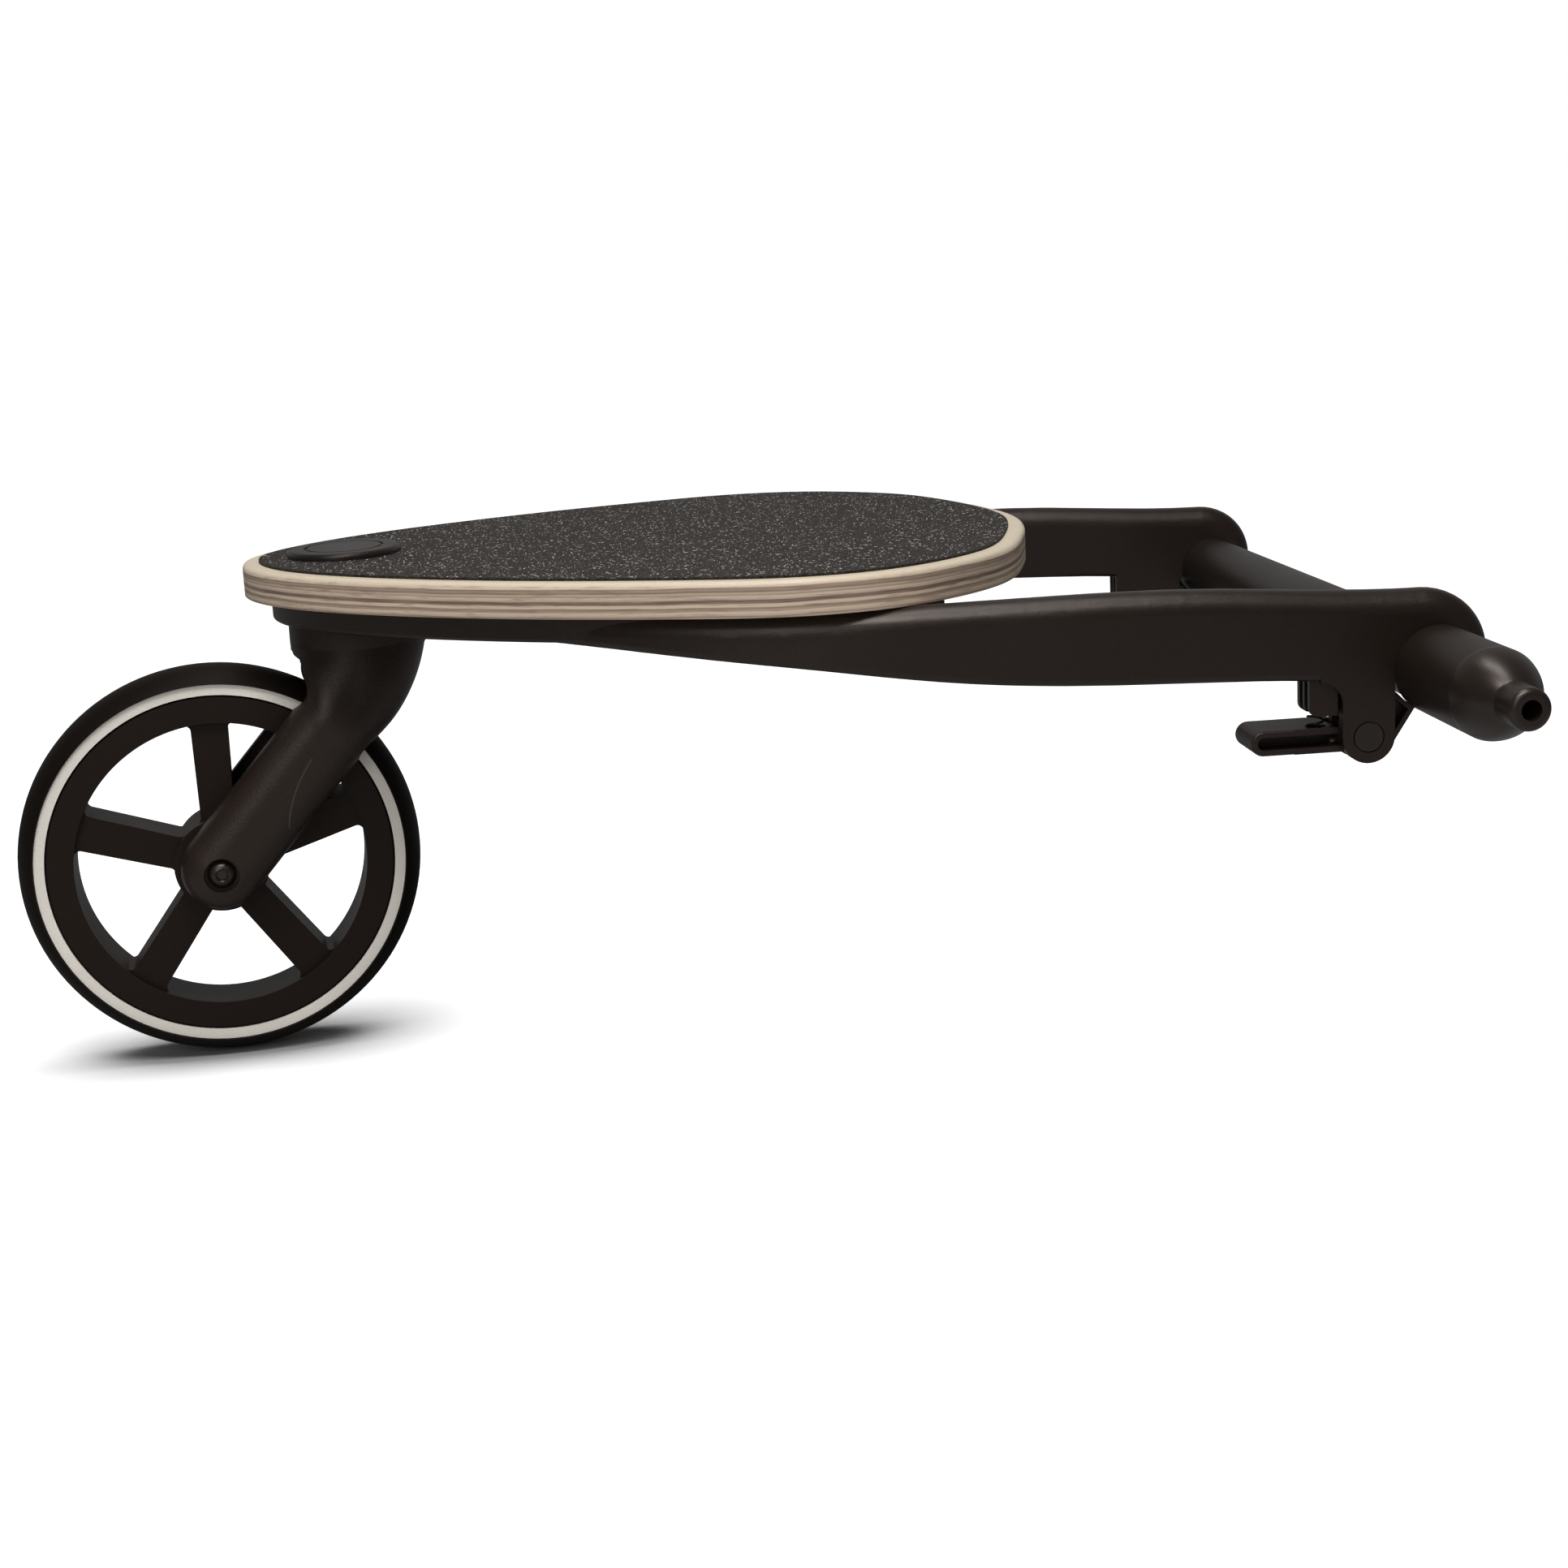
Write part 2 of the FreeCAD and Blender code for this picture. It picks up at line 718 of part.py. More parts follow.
# Caster swivel: kingpin through the tray, thrust washer, two bushes, keeper washer and clip
def kingpin():
    place = Vector(kingpin_x, 0, deck_underside)
    flange = rod(kingpin_flange_radius, place, kingpin_flange, -Z)
    shank = rod(kingpin_radius, place, deck_underside - kingpin_end, -Z)
    groove = tube(kingpin_radius + cut_over, kingpin_radius - clip_groove, Vector(kingpin_x, 0, clip_top),
                  clip_thickness, -Z)
    return flange.fuse(shank).cut(groove)


def kingpin_washer():
    place = Vector(kingpin_x, 0, keeper_top)
    return tube(keeper_radius, kingpin_radius + running_gap, place, keeper_thickness, -Z)


def kingpin_clip():
    inner = kingpin_radius - clip_groove
    ring = tube(clip_radius, inner, Vector(kingpin_x, 0, clip_top), clip_thickness, -Z)
    mouth = box(Vector(kingpin_x, -inner, clip_top - cut_over),
                Vector(kingpin_x + clip_radius + cut_over, inner, clip_top + cut_over))
    return ring.cut(mouth)


def turned(shape):
    result = shape.copy()
    result.rotate(Vector(kingpin_x, 0, 0), Z, caster_turn)
    return result


def thrust_ring():
    place = Vector(kingpin_x, 0, crown_top)
    return turned(tube(thrust_washer_radius, kingpin_radius + running_gap, place, thrust_washer, Z))


def swivel_bush(top, length):
    return turned(tube(swivel_bore, kingpin_radius + running_gap, Vector(kingpin_x, 0, top), length, -Z))


# Caster fork
def crown():
    body = rod(crown_radius, Vector(kingpin_x, 0, crown_top), crown_straight, -Z)
    return body.makeFillet(crown_top_round, on_plane(body, crown_top, Z))


def limb_lean():
    return math.atan2(trail, crown_top - elbow_drop - axle_z)


def limb_section(place, turn, half_width, half_depth, corner):
    across = Vector(math.cos(turn), 0, -math.sin(turn))
    edges = []
    for quarter in range(4):
        out_x, out_y = ((1, 1), (-1, 1), (-1, -1), (1, -1))[quarter]
        middle = place + across * (out_x * (half_width - corner)) + Y * (out_y * (half_depth - corner))
        ends = (across * (out_x * corner), Y * (out_y * corner))
        start, end = ends if quarter % 2 == 0 else ends[::-1]
        edges.append(arc(middle + start, middle + (start + end) * math.sqrt(0.5), middle + end))
    joined = []
    for quarter, edge in enumerate(edges):
        following = edges[(quarter + 1) % 4]
        joined += [edge, line(edge.Vertexes[-1].Point, following.Vertexes[0].Point)]
    return Part.Wire(joined)


# The fork's bend: a round section under the tray that turns and narrows into the two flat limbs
def elbow():
    lean = limb_lean()
    bend_radius = elbow_tangent / math.tan(lean / 2)
    middle = Vector(kingpin_x - bend_radius, 0, crown_top - elbow_drop + elbow_tangent)
    along = Vector(math.sin(lean), 0, math.cos(lean))
    round_corner = crown_radius - elbow_flat
    top = Vector(kingpin_x, 0, crown_top)
    sections = [limb_section(top, 0, crown_radius, crown_radius, round_corner)]
    for step in range(elbow_sections):
        share = step / (elbow_sections - 1)
        turn = lean * share
        belly = 4 * share * (1 - share) * elbow_belly
        place = middle + Vector(math.cos(turn), 0, -math.sin(turn)) * (bend_radius - belly)
        width = crown_radius + (limb_radius - crown_radius) * share + belly
        depth = crown_radius + (limb_outer - crown_radius) * share
        corner = round_corner + (limb_round - round_corner) * share
        sections.append(limb_section(place, turn, width, depth, corner))
    sections.append(limb_section(place - along * limb_neck, lean, limb_radius, limb_outer, limb_round))
    return Part.makeLoft(sections, True, False)


def limbs():
    lean = limb_lean()
    along = Vector(math.sin(lean), 0, math.cos(lean))
    across = Vector(math.cos(lean), 0, -math.sin(lean)) * limb_radius
    foot = Vector(axle_x, -limb_outer, axle_z)
    neck = Vector(kingpin_x, -limb_outer, crown_top - elbow_drop) - along * (elbow_tangent + limb_neck)
    outline = face([
        line(foot - across, neck - across),
        line(neck - across, neck + across),
        line(neck + across, foot + across),
        arc(foot + across, foot - along * limb_radius, foot - across),
    ])
    body = outline.extrude(Y * 2 * limb_outer)
    edges = []
    for side in (-limb_outer, limb_outer):
        edges += [e for e in on_plane(body, side, Y) if abs((e.CenterOfMass - neck).dot(along)) > limb_neck]
    return body.makeFillet(limb_round, edges)


def hexagon(across_flats, place, depth):
    corner = across_flats / math.sqrt(3)
    points = []
    for step in range(6):
        turn = math.radians(60 * step)
        points.append(place + Vector(corner * math.cos(turn), 0, corner * math.sin(turn)))
    return polygon(points).extrude(Y * depth)


def caster_fork():
    body = crown().fuse([elbow(), limbs()])
    slot = rod(tyre_radius + tyre_clearance, Vector(axle_x, -limb_inner, axle_z), 2 * limb_inner, Y)
    body = clean(body.cut(slot))
    bore_top = Vector(kingpin_x, 0, crown_top + cut_over)
    body = body.cut(rod(swivel_bore, bore_top, bore_top.z - axle_z, -Z))
    keeper_pocket = Vector(kingpin_x, 0, lower_bush_bottom)
    body = body.cut(rod(keeper_radius + keeper_pocket_gap, keeper_pocket, lower_bush_bottom - axle_z, -Z))
    hole_start = Vector(axle_x, -limb_outer - cut_over, axle_z)
    body = body.cut(rod(axle_radius + seat_gap, hole_start, 2 * (limb_outer + cut_over), Y))
    body = body.cut(rod(axle_recess_radius, hole_start, axle_recess_depth + cut_over, Y))
    nut_place = Vector(axle_x, limb_outer - nut_recess_depth, axle_z)
    return turned(body.cut(hexagon(nut_across_flats + 2 * seat_gap, nut_place, nut_recess_depth + cut_over)))


# Axle and wheel, built about the axle line
def axle_place(side):
    return Vector(axle_x, side, axle_z)


def axle_bolt():
    seat = -limb_outer + axle_recess_depth
    end = limb_outer - nut_recess_depth + nut_thickness
    shank = rod(axle_radius, axle_place(seat), end - seat, Y)
    head = rod(axle_head_radius, axle_place(seat), axle_head_rim, -Y)
    button = dome(axle_head_radius, axle_head_height - axle_head_rim, axle_place(seat - axle_head_rim), -Y)
    mouth = seat - axle_head_height
    socket = hexagon(axle_socket, axle_place(mouth), axle_socket_depth)
    socket_corner = axle_socket / math.sqrt(3)
    bevel = Part.makeCone(socket_corner + axle_socket_bevel, socket_corner - axle_socket_bevel,
                          2 * axle_socket_bevel, axle_place(mouth), Y)
    return turned(clean(head.fuse([button, shank])).cut(socket).cut(bevel))


def axle_nut():
    seat = limb_outer - nut_recess_depth
    body = hexagon(nut_across_flats, axle_place(seat), nut_thickness)
    return turned(body.cut(rod(axle_radius, axle_place(seat - cut_over), nut_thickness + 2 * cut_over, Y)))


def axle_sleeve():
    return turned(tube(axle_sleeve_radius, axle_radius + seat_gap, axle_place(-hub_half), 2 * hub_half, Y))


def side_washers():
    thickness = limb_inner - hub_half
    bore = axle_radius + seat_gap
    lows = (-limb_inner, hub_half)
    return [turned(tube(side_washer_radius, bore, axle_place(low), thickness, Y)) for low in lows]


def race_groove(middle):
    return Part.makeTorus(ball_pitch, ball_radius + running_gap, axle_place(middle), Y)


def bearing_sides():
    middle = hub_half - bearing_width / 2
    return (-middle, middle)


def inner_rings():
    outer = bearing_bore_radius + race_wall
    rings = []
    for middle in bearing_sides():
        ring = tube(outer, bearing_bore_radius, axle_place(middle - bearing_width / 2), bearing_width, Y)
        rings.append(turned(ring.cut(race_groove(middle))))
    return rings


def outer_rings():
    inner = bearing_outer_radius - race_wall
    rings = []
    for middle in bearing_sides():
        ring = tube(bearing_outer_radius, inner, axle_place(middle - bearing_width / 2), bearing_width, Y)
        rings.append(turned(ring.cut(race_groove(middle))))
    return rings


def bearing_balls():
    balls = []
    for middle in bearing_sides():
        for step in range(ball_count):
            turn = 2 * math.pi * step / ball_count
            offset = Vector(ball_pitch * math.cos(turn), 0, ball_pitch * math.sin(turn))
            balls.append(turned(Part.makeSphere(ball_radius, axle_place(middle) + offset)))
    return balls


def revolved(points):
    place = axle_place(0)
    outline = polygon([place + Vector(radius, side, 0) for radius, side in points])
    return outline.revolve(place, Y, 360)


def spoke(step):
    turn = spoke_phase + 360.0 * step / spoke_count
    start, end = hub_radius - race_wall, rim_window_radius + race_wall
    half = spoke_thickness / 2
    points = [
        Vector(start, -half, -spoke_width_hub / 2), Vector(end, -half, -spoke_width_rim / 2),
        Vector(end, -half, spoke_width_rim / 2), Vector(start, -half, spoke_width_hub / 2),
    ]
    body = polygon(points).extrude(Y * spoke_thickness)
    body.rotate(ORIGIN, -Y, turn)
    return body.translated(axle_place(0))


def wheel_rim():
    half = rim_width / 2
    flange = half - rim_flange
    band = revolved([
        (rim_window_radius, -half), (rim_flange_radius, -half), (rim_flange_radius, -flange),
        (rim_seat_radius, -flange), (rim_seat_radius, flange), (rim_flange_radius, flange),
        (rim_flange_radius, half), (rim_window_radius, half),
    ])
    hub = rod(hub_radius, axle_place(-hub_half), 2 * hub_half, Y)
    body = clean(band.fuse([hub] + [spoke(step) for step in range(spoke_count)]))
    corners = []
    for edge in body.Edges:
        span = edge.BoundBox
        middle = edge.CenterOfMass - axle_place(0)
        if abs(span.YLength - spoke_thickness) < rub_gap and hub_radius - race_wall < middle.Length:
            corners.append(edge)
    body = body.makeFillet(spoke_round, corners)
    shoulder = bearing_outer_radius - race_wall
    body = body.cut(rod(shoulder, axle_place(-hub_half - cut_over), 2 * (hub_half + cut_over), Y))
    for low in (-hub_half - cut_over, hub_half - bearing_width):
        body = body.cut(rod(bearing_outer_radius, axle_place(low), bearing_width + cut_over, Y))
    return turned(body)


def tyre():
    flange = rim_width / 2 - rim_flange
    place = axle_place(0)

    def at(radius, side):
        return place + Vector(radius, side, 0)

    half = tyre_width / 2
    corners = [
        at(tyre_shoulder_radius, -half), at(ring_outer_radius, -ring_face), at(ring_outer_radius, -ring_seat),
        at(rim_flange_radius, -ring_seat), at(rim_flange_radius, -flange), at(rim_seat_radius, -flange),
        at(rim_seat_radius, flange), at(rim_flange_radius, flange), at(rim_flange_radius, ring_seat),
        at(ring_outer_radius, ring_seat), at(ring_outer_radius, ring_face), at(tyre_shoulder_radius, half),
    ]
    edges = [line(start, end) for start, end in zip(corners, corners[1:])]
    edges.append(arc(corners[-1], at(tyre_radius, 0), corners[0]))
    return turned(face(edges).revolve(place, Y, 360))


def reflector_rings():
    rings = []
    for low in (-ring_face, ring_seat):
        ring = tube(ring_outer_radius, ring_inner_radius, axle_place(low), ring_thickness, Y)
        rings.append(turned(ring))
    return rings


def build_all():
    os.makedirs("parts", exist_ok=True)
    save("cross_tube", bored_tube())
    save_pair("end_sleeve", end_sleeve())
    save_pair("end_plug", end_plug())
    save("plug_pins", plug_pin(), mirrored(plug_pin()))
    save("chassis", chassis())
    save("deck_board", deck_board())
    save("grip_tape", grip_tape())
    save("badge", badge())
    save("deck_screws", *[deck_screw(p) for p in screw_points()])
    save("deck_inserts", *[deck_insert(p) for p in screw_points()])
    save_pair("latch_lever", latch_lever())
    save_pair("lever_pin", lever_pin())
    save_pair("lever_spring", lever_spring())
    save("kingpin", kingpin())
    save("kingpin_washer", kingpin_washer())
    save("kingpin_clip", kingpin_clip())
    save("thrust_washer", thrust_ring())
    save("swivel_bush_upper", swivel_bush(crown_top, upper_bush_length))
    save("swivel_bush_lower", swivel_bush(lower_bush_top, lower_bush_length))
    save("caster_fork", caster_fork())
    save("axle_bolt", axle_bolt())
    save("axle_nut", axle_nut())
    save("axle_sleeve", axle_sleeve())
    save("axle_washers", *side_washers())
    save("bearing_inner_rings", *inner_rings())
    save("bearing_outer_rings", *outer_rings())
    save("bearing_balls", *bearing_balls())
    save("wheel_rim", wheel_rim())
    save("tyre", tyre())
    save("reflector_rings", *reflector_rings())


build_all()
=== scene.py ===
# %% [markdown]
# # Buggy board
# A buggy board is clipped behind a pushchair so that a child can ride along, standing on it. This one is a
# plywood deck on a black moulded wishbone, with a caster wheel at one end and a cross bar at the other.
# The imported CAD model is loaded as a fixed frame, in metres. Its solids already have the real shapes and
# roundings, so the lesson is about finishes, light and the camera: what each surface is, and how to say it
# in shader nodes.

# %% Load the frame
import math
import random

import bpy
from mathutils import Euler, Matrix, Vector


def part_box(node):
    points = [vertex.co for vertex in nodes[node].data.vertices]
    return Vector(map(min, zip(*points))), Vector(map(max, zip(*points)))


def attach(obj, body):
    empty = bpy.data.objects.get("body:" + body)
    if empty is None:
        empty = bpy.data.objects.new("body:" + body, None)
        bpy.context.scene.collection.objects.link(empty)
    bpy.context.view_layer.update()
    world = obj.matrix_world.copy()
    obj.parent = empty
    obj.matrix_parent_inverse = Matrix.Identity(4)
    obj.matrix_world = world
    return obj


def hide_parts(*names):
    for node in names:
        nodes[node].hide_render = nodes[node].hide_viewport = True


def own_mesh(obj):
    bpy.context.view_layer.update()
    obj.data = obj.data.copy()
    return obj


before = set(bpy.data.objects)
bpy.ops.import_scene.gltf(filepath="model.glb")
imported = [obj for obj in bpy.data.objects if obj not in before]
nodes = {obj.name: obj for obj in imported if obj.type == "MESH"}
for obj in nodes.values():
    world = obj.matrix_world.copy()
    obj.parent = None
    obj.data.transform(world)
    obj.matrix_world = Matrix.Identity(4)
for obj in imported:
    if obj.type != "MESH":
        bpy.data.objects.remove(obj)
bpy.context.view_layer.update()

# %% [markdown]
# ## How a finish is started
# Every finish here is one Principled shader whose colour, roughness and bump come from a few texture nodes.
# It could be wired by hand in the shader editor. Four small helpers do the same in code: start a finish, add
# a node, feed a value or a link into a socket, and give the shader one of its inputs.


# %% Start a finish
def start_finish(name):
    finish = bpy.data.materials.new(name)
    finish.use_nodes = True
    return finish


def add(owner, kind, **settings):
    node = owner.node_tree.nodes.new(kind)
    for key, value in settings.items():
        setattr(node, key, value)
    return node


def feed(owner, value, socket):
    if isinstance(value, bpy.types.NodeSocket):
        owner.node_tree.links.new(value, socket)
    elif socket.type == "RGBA":
        socket.default_value = tuple(value) + (1.0,)
    else:
        socket.default_value = value


def give(finish, socket, value):
    feed(finish, value, finish.node_tree.nodes["Principled BSDF"].inputs[socket])


print("a finish starts from the Principled shader")

# %% [markdown]
# ## Textures that stay on the piece
# A texture needs a place to be read at. Object coordinates are used for all of them: every piece sits at the
# origin, so they are metres in the shared frame, and they travel with a piece when its joint moves. A Mapping
# node stretches the pattern where the real surface has a direction, such as wood grain or a brushed metal.


# %% Texture helpers
def place(finish, stretch=None):
    spot = add(finish, "ShaderNodeTexCoord").outputs["Object"]
    if stretch is None:
        return spot
    mapping = add(finish, "ShaderNodeMapping")
    feed(finish, stretch, mapping.inputs["Scale"])
    feed(finish, spot, mapping.inputs["Vector"])
    return mapping.outputs["Vector"]


def noise(finish, scale, detail, rough=0.6, stretch=None):
    cloud = add(finish, "ShaderNodeTexNoise")
    wanted = {"Vector": place(finish, stretch), "Scale": scale, "Detail": detail, "Roughness": rough}
    for socket, value in wanted.items():
        feed(finish, value, cloud.inputs[socket])
    return cloud.outputs["Fac"]


def spread(finish, value, low, high, start=0.3, end=0.7):
    span = add(finish, "ShaderNodeMapRange")
    wanted = {"Value": value, "From Min": start, "From Max": end, "To Min": low, "To Max": high}
    for socket, number in wanted.items():
        feed(finish, number, span.inputs[socket])
    return span.outputs["Result"]


# A Mix node has sockets for every kind of data, and these are the places of the ones for colours.
mix_inputs, mix_result = (0, 6, 7), 2


def mix(finish, share, first, second):
    blend = add(finish, "ShaderNodeMix", data_type="RGBA")
    for socket, value in zip(mix_inputs, (share, first, second)):
        feed(finish, value, blend.inputs[socket])
    return blend.outputs[mix_result]


def bump(finish, height, depth, strength):
    relief = add(finish, "ShaderNodeBump")
    for socket, value in {"Height": height, "Distance": depth, "Strength": strength}.items():
        feed(finish, value, relief.inputs[socket])
    give(finish, "Normal", relief.outputs["Normal"])


print("textures are read in metres, on the piece")

# %% [markdown]
# ## Moulded black plastic
# The wishbone, fork, levers and wheel are glass-filled nylon from a spark-eroded mould: nearly black, a touch
# warm, with a fine leathery grain that breaks up the gloss. A flat black would look like a hole, so the
# colour has slow rubbed patches, the grain lightens and darkens it, and a bump gives each grain a side.

# %% Moulded black plastic
# warm_painted_gloss tints every reflection warm: painted warm light, as the lamps are white. The warm cast of
# the colours is partly the materials' own and partly painted warm light.
warm_painted_gloss = (1.0, 0.88, 0.80)
rubbed_share, fleck_cover = 1.25, 0.8
patch_scale, patch_detail = 18.0, 3.0
grain_detail, grain_rough, grain_strength = 3.0, 0.7, 0.6


def moulded(name, colour, gloss, grain_depth, grain_scale=1500.0, shine=0.5, fleck_share=0.72):
    finish = start_finish(name)
    slow = noise(finish, patch_scale, patch_detail)
    grain = noise(finish, grain_scale, grain_detail, grain_rough)
    rubbed = tuple(rubbed_share * part for part in colour)
    fleck = tuple(fleck_share * part for part in colour)
    worn = mix(finish, spread(finish, slow, 0.0, 1.0), colour, rubbed)
    give(finish, "Base Color", mix(finish, spread(finish, grain, 0.0, fleck_cover), worn, fleck))
    give(finish, "Roughness", spread(finish, slow, *gloss))
    give(finish, "Specular IOR Level", shine)
    give(finish, "Specular Tint", warm_painted_gloss)
    bump(finish, grain, grain_depth, grain_strength)
    return finish


def put_on(finish, *names):
    for name in names:
        mesh = nodes[name].data
        mesh.materials.clear()
        mesh.materials.append(finish)
    print(finish.name, "on", ", ".join(names))


wishbone_black = moulded("wishbone_black", (0.0088, 0.0042, 0.0025), gloss=(0.34, 0.42),
                         grain_depth=0.00010, shine=0.6)
put_on(wishbone_black, "chassis", "latch_lever_left", "latch_lever_right")

# %% [markdown]
# ## The fork's grain and its scuff
# The fork is the same plastic with a coarser grain and a lighter colour; the extra lightness is painted light
# for the light that falls on the near limb. It takes the knocks: a thin pale scuff runs down the near limb. It
# could be a cut in the mesh, but a scuff has no depth to speak of, so it is drawn in the colour.
# A curve gives the scuff's x for each height z, and the colour is lightened where x is close to it.

# %% The fork's grain and its scuff
scuff_low, scuff_high, scuff_half_width = -0.0533, -0.0277, 0.0004
scuff_start_x, scuff_lean, scuff_curl = -0.3951, 0.0968, 12.24
scuff_near_side = -0.020
scuff_colour, scuff_cover = (0.11, 0.10, 0.09), 0.55


def maths(finish, operation, first, second=0.0, third=0.0):
    sums = add(finish, "ShaderNodeMath", operation=operation)
    for socket, value in zip(sums.inputs, (first, second, third)):
        feed(finish, value, socket)
    return sums.outputs[0]


def axis(finish, name, source=None):
    parts = add(finish, "ShaderNodeSeparateXYZ")
    feed(finish, source or place(finish), parts.inputs[0])
    return parts.outputs[name]


def distance(finish, value, middle):
    return maths(finish, "ABSOLUTE", maths(finish, "SUBTRACT", value, middle))


def scuff_mask(finish):
    height = maths(finish, "SUBTRACT", axis(finish, "Z"), scuff_low)
    bend = maths(finish, "MULTIPLY_ADD", height, scuff_curl, scuff_lean)
    middle = maths(finish, "MULTIPLY_ADD", height, bend, scuff_start_x)
    off = distance(finish, axis(finish, "X"), middle)
    line = spread(finish, off, 1.0, 0.0, 0.0, scuff_half_width)
    from_middle = distance(finish, axis(finish, "Z"), (scuff_low + scuff_high) / 2)
    span = maths(finish, "LESS_THAN", from_middle, (scuff_high - scuff_low) / 2)
    side = maths(finish, "LESS_THAN", axis(finish, "Y"), scuff_near_side)
    return maths(finish, "MULTIPLY", line, maths(finish, "MULTIPLY", span, side))


def add_scuff(finish):
    shader = finish.node_tree.nodes["Principled BSDF"]
    under = shader.inputs["Base Color"].links[0].from_socket
    share = maths(finish, "MULTIPLY", scuff_mask(finish), scuff_cover)
    give(finish, "Base Color", mix(finish, share, under, scuff_colour))


# fork_black is lighter than wishbone_black: the difference is painted light on the near limb.
fork_black = moulded("fork_black", (0.0165, 0.0098, 0.0072), gloss=(0.38, 0.48), grain_depth=0.00026,
                     grain_scale=900.0)
add_scuff(fork_black)
put_on(fork_black, "caster_fork")

# %% [markdown]
# ## The other blacks
# Side by side the blacks of the real object differ: the rim is duller and deeper than the fork, though part of
# the fork's lightness is painted light, the tyre is rubber and almost without gloss, the bar is powder coated,
# and the end plugs shine more than the sleeves.
# The same moulding helper makes them, each with its own colour, gloss and grain, so they stay related.

# %% The other blacks
rim_black = moulded("rim_black", (0.0112, 0.0064, 0.0044), gloss=(0.44, 0.54), grain_depth=0.00009,
                    shine=0.26)
tyre_rubber = moulded("tyre_rubber", (0.0078, 0.0053, 0.0042), gloss=(0.50, 0.60), grain_depth=0.00006,
                      grain_scale=900.0, shine=0.09)
sleeve_black = moulded("sleeve_black", (0.0100, 0.0058, 0.0040), gloss=(0.37, 0.45), grain_depth=0.00007,
                       shine=0.46)
plug_black = moulded("plug_black", (0.0130, 0.0082, 0.0060), gloss=(0.31, 0.37), grain_depth=0.00003,
                     shine=0.6)
badge_black = moulded("badge_black", (0.0130, 0.0098, 0.0082), gloss=(0.36, 0.46), grain_depth=0.00003,
                      shine=0.3)
bar_coat = moulded("bar_powder_coat", (0.0090, 0.0058, 0.0043), gloss=(0.36, 0.44), grain_depth=0.00008,
                   grain_scale=1400.0, shine=0.45)
rivet_black = moulded("rivet_black", (0.0100, 0.0072, 0.0060), gloss=(0.12, 0.18), grain_depth=0.00001,
                      shine=0.6)
put_on(rim_black, "wheel_rim")
put_on(tyre_rubber, "tyre")
put_on(sleeve_black, "end_sleeve_left", "end_sleeve_right")
put_on(plug_black, "end_plug_left", "end_plug_right")
put_on(badge_black, "badge")
put_on(bar_coat, "cross_tube")
put_on(rivet_black, "lever_pin_left", "lever_pin_right")

# %% [markdown]
# ## Pale plastics
# The reflective ring in the tyre is a pale moulded insert, and the swivel turns on nylon bushes. They use the
# same helper with light colours. The ring is a little glossier and has hardly any flecks, because it is
# pressed, not sparked.

# %% Pale plastics
ring_white = moulded("ring_white", (0.92, 0.865, 0.785), gloss=(0.30, 0.42), grain_depth=0.00002,
                     shine=0.4, fleck_share=0.95)
bush_nylon = moulded("bush_nylon", (0.55, 0.52, 0.46), gloss=(0.42, 0.52), grain_depth=0.00004)
put_on(ring_white, "reflector_rings")
put_on(bush_nylon, "thrust_washer", "swivel_bush_upper", "swivel_bush_lower")

# %% [markdown]
# ## Veneers
# The deck is plywood, and its sawn edge shows the plies: veneers lie across each other, so long grain looks
# pale and end grain looks brown. Each ply could be a mesh of its own, but they are glued flush, so a colour
# ramp by height says the same. The stops run from the deck's lower face, at 0, to its upper face, at 1.

# %% Veneers and where they lie
pale, cream, tan = (0.74, 0.60, 0.45), (0.63, 0.495, 0.365), (0.45, 0.335, 0.245)
brown, dark = (0.30, 0.205, 0.152), (0.205, 0.125, 0.098)
veneers = [
    (0.00, cream), (0.05, brown), (0.09, cream), (0.17, pale), (0.20, tan), (0.28, brown), (0.31, pale),
    (0.37, pale), (0.41, dark), (0.48, dark), (0.52, cream), (0.59, pale), (0.62, tan), (0.68, cream),
    (0.71, brown), (0.78, tan), (0.81, brown), (0.85, pale), (1.00, pale),
]


def ramp(finish, value, stops):
    band = add(finish, "ShaderNodeValToRGB")
    band.color_ramp.interpolation = "EASE"
    row = band.color_ramp.elements
    for index, (position, colour) in enumerate(stops):
        stop = row[index] if index < 2 else row.new(position)
        stop.position = position
        stop.color = colour + (1.0,)
    feed(finish, value, band.inputs["Fac"])
    return band.outputs["Color"]


print("veneer stops:", len(veneers))

# %% [markdown]
# ## Plywood
# On the sawn edge a slow wave bends the layers, and two stretched noises draw the pale fibres and the short
# dark dashes along them. The flat faces are one pale veneer with long grain, and the direction that a face
# points in chooses between the two. That direction is the object's own, so the choice stays the same when the
# board is folded up.

# %% Plywood
fibre_colour, fibre_stretch = (0.62, 0.48, 0.37), (50.0, 50.0, 1500.0)
dash_colour, dash_stretch = (0.24, 0.155, 0.125), (80.0, 80.0, 1050.0)
face_pale, face_tan, face_stretch = (0.72, 0.62, 0.475), (0.63, 0.53, 0.39), (22.0, 700.0, 22.0)
layer_wave, least_upright = 0.03, 0.55


def sawn_edge(finish):
    low, high = (corner[2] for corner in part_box("deck_board"))
    wave = spread(finish, noise(finish, scale=14.0, detail=2.0), -layer_wave, layer_wave)
    level = maths(finish, "ADD", spread(finish, axis(finish, "Z"), 0.0, 1.0, low, high), wave)
    plies = ramp(finish, level, veneers)
    fibre = noise(finish, scale=1.0, detail=4.0, rough=0.7, stretch=fibre_stretch)
    fibre_cover = spread(finish, fibre, low=0.0, high=0.45, start=0.42, end=0.68)
    plies = mix(finish, fibre_cover, plies, fibre_colour)
    dash = noise(finish, scale=1.0, detail=3.0, rough=0.65, stretch=dash_stretch)
    dash_cover = spread(finish, dash, low=0.0, high=0.62, start=0.53, end=0.72)
    return mix(finish, dash_cover, plies, dash_colour), fibre


def flat_face(finish):
    normal = add(finish, "ShaderNodeTexCoord").outputs["Normal"]
    upright = maths(finish, "ABSOLUTE", axis(finish, "Z", normal))
    return maths(finish, "GREATER_THAN", upright, least_upright)


